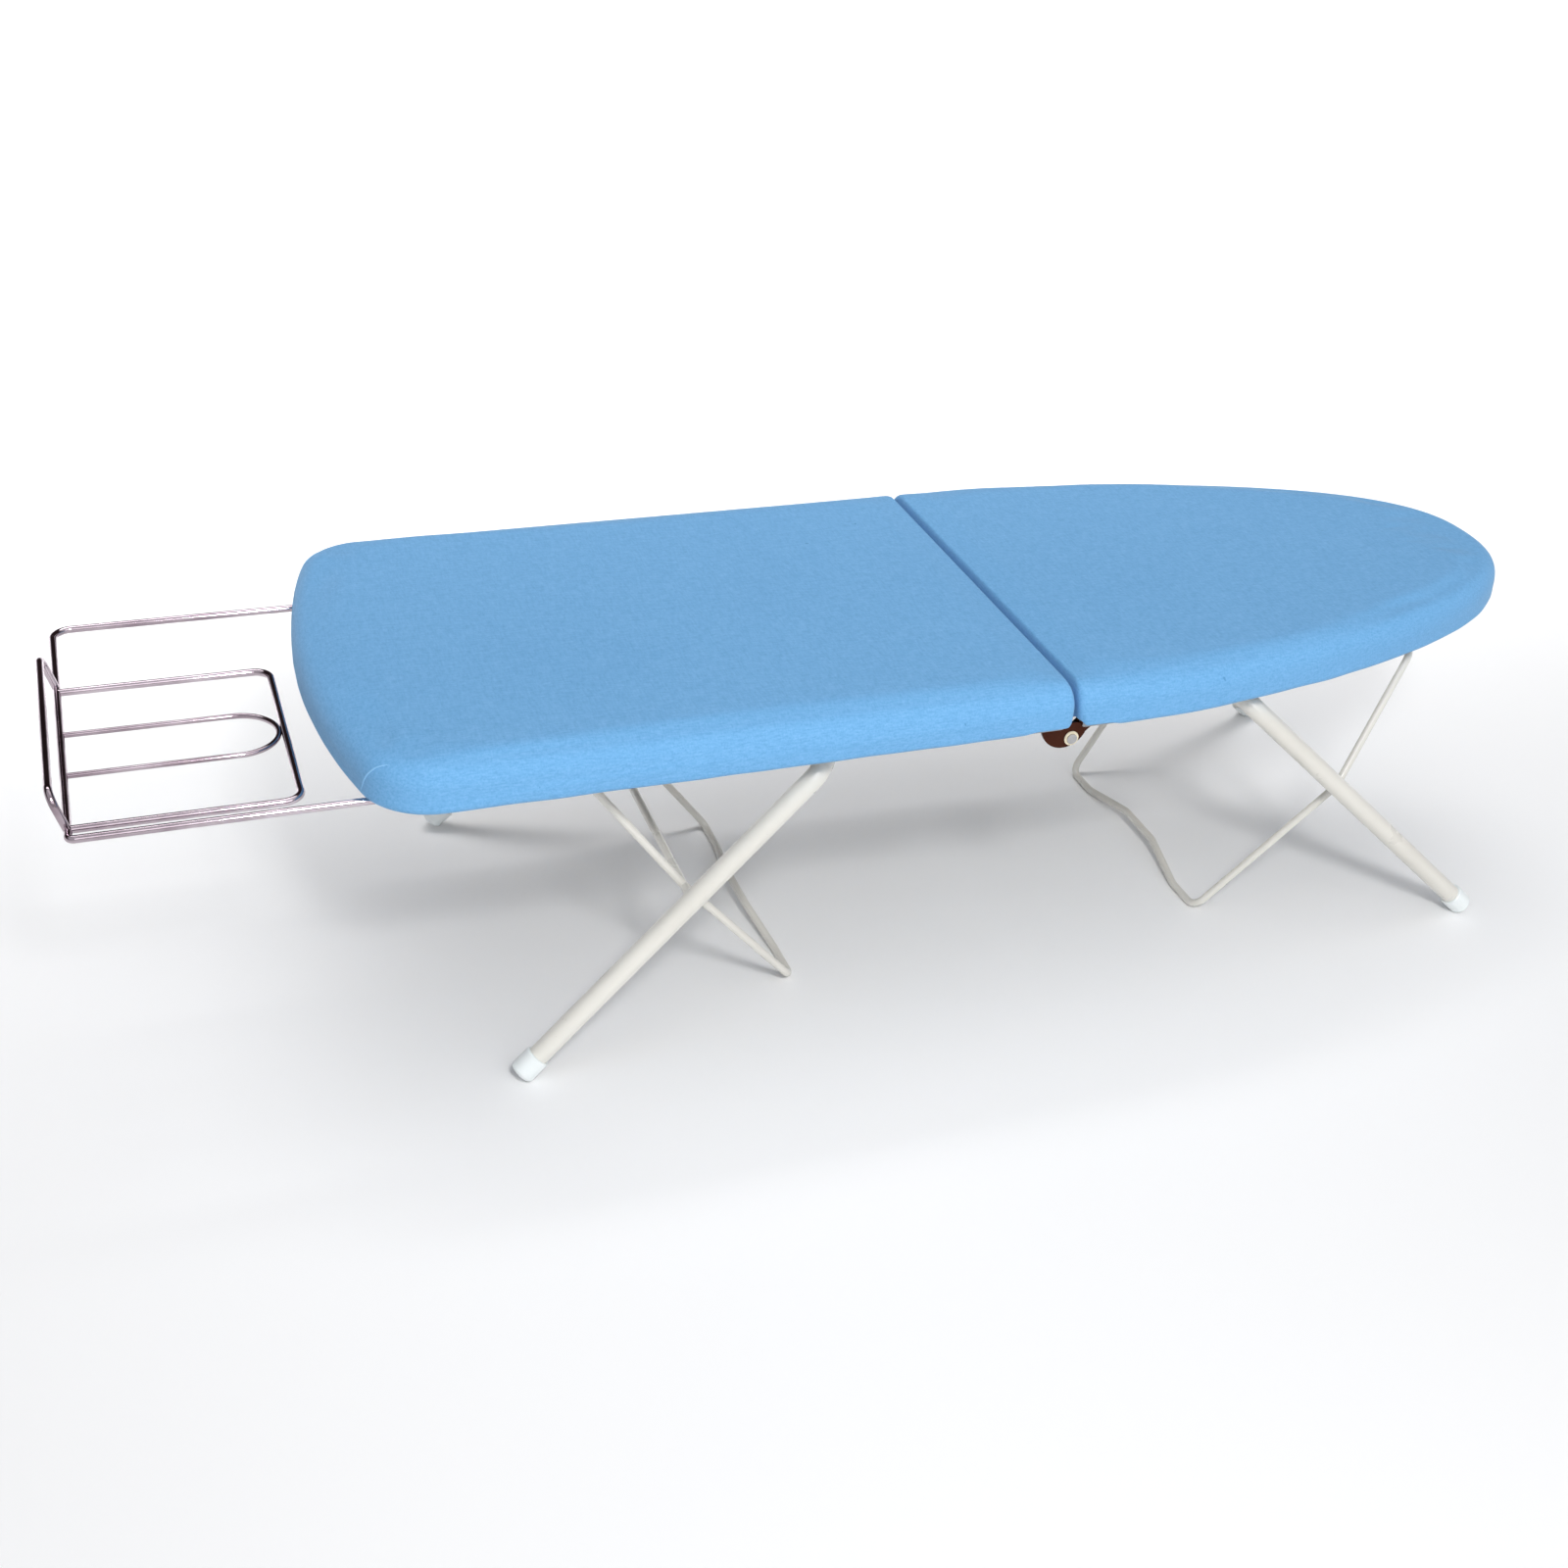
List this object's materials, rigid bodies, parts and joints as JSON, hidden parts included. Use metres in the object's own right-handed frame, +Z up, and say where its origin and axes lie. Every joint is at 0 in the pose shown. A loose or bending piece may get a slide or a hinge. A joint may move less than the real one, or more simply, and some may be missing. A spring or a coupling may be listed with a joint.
{
  "type": "folding table-top ironing board",
  "caption": "Table-top ironing board that folds in half, with a padded cotton cover, scissor legs of tube and wire, and a pull-out wire iron rest.",
  "frame": {"origin": "on the table, under the middle of the board's whole length and width", "axes": "+X along the length towards the pointed nose, -X towards the iron rest, +Y towards the far side, +Z up from the table"},
  "size_m": [0.9544, 0.312, 0.222],
  "materials": {
    "cover": "woven cotton, matt",
    "foam": "open-cell foam pad",
    "cord": "braided elastic cord",
    "deck": "grey paint, satin",
    "bracket": "zinc plated",
    "rivet": "zinc plated",
    "guide": "moulded nylon",
    "hinge": "dark bronze plating, glossy",
    "leg_paint": "off-white enamel, semi-gloss",
    "cap": "white plastic, semi-gloss",
    "washer": "cream nylon",
    "chrome": "bright chrome plate"
  },
  "bodies": {
    "rear_half": {"rear_deck": "deck", "rear_pad": "foam", "rear_cover": "cover", "rear_hem_cord": "cord", "rear_pivot_brackets": "bracket", "rear_leg_track": "bracket", "rear_rivets": "rivet", "rod_guides": "guide", "near_hinge_plate": "hinge", "far_hinge_plate": "hinge", "near_hinge_rivet": "rivet", "far_hinge_rivet": "rivet", "near_hinge_washer": "washer", "far_hinge_washer": "washer"},
    "nose_half": {"nose_deck": "deck", "nose_pad": "foam", "nose_cover": "cover", "nose_hem_cord": "cord", "nose_pivot_brackets": "bracket", "nose_leg_track": "bracket", "nose_rivets": "rivet", "near_hinge_arm": "hinge", "far_hinge_arm": "hinge"},
    "rear_tube": {"rear_tube_leg": "leg_paint", "rear_near_cap": "cap", "rear_far_cap": "cap"},
    "rear_wire": {"rear_wire_leg": "leg_paint", "rear_axle": "leg_paint"},
    "nose_tube": {"nose_tube_leg": "leg_paint", "nose_near_cap": "cap", "nose_far_cap": "cap"},
    "nose_wire": {"nose_wire_leg": "leg_paint", "nose_axle": "leg_paint"},
    "iron_rest": {"slide_frame": "chrome", "slide_stop_bar": "chrome", "rest_tray": "chrome", "rest_middle_wire": "chrome", "heel_stop": "chrome"}
  },
  "joints": [
    {"name": "board_fold", "type": "hinge", "parent": "rear_half", "child": "nose_half", "pos_m": [0.0882, 0, 0.1855], "axis": [0, 1, 0], "range_deg": [0, 162]},
    {"name": "rear_tube_swing", "type": "hinge", "parent": "rear_half", "child": "rear_tube", "pos_m": [-0.05406, 0, 0.17965], "axis": [0, 1, 0], "range_deg": [0, 40.28]},
    {"name": "rear_wire_swing", "type": "hinge", "parent": "rear_tube", "child": "rear_wire", "pos_m": [-0.1403, 0, 0.1009], "axis": [0, -1, 0], "range_deg": [0, 89.04]},
    {"name": "nose_tube_swing", "type": "hinge", "parent": "nose_half", "child": "nose_tube", "pos_m": [0.22446, 0, 0.17965], "axis": [0, -1, 0], "range_deg": [0, 40.28]},
    {"name": "nose_wire_swing", "type": "hinge", "parent": "nose_tube", "child": "nose_wire", "pos_m": [0.3107, 0, 0.1009], "axis": [0, 1, 0], "range_deg": [0, 89.04]},
    {"name": "iron_rest_slide", "type": "slide", "parent": "rear_half", "child": "iron_rest", "axis": [1, 0, 0], "range_m": [0, 0.118]}
  ],
  "couplings": [
    {"joint": "rear_tube_swing", "follows": "board_fold", "ratio": 0.24864},
    {"joint": "rear_wire_swing", "follows": "board_fold", "ratio": 0.54963},
    {"joint": "nose_tube_swing", "follows": "board_fold", "ratio": 0.24864},
    {"joint": "nose_wire_swing", "follows": "board_fold", "ratio": 0.54963}
  ]
}
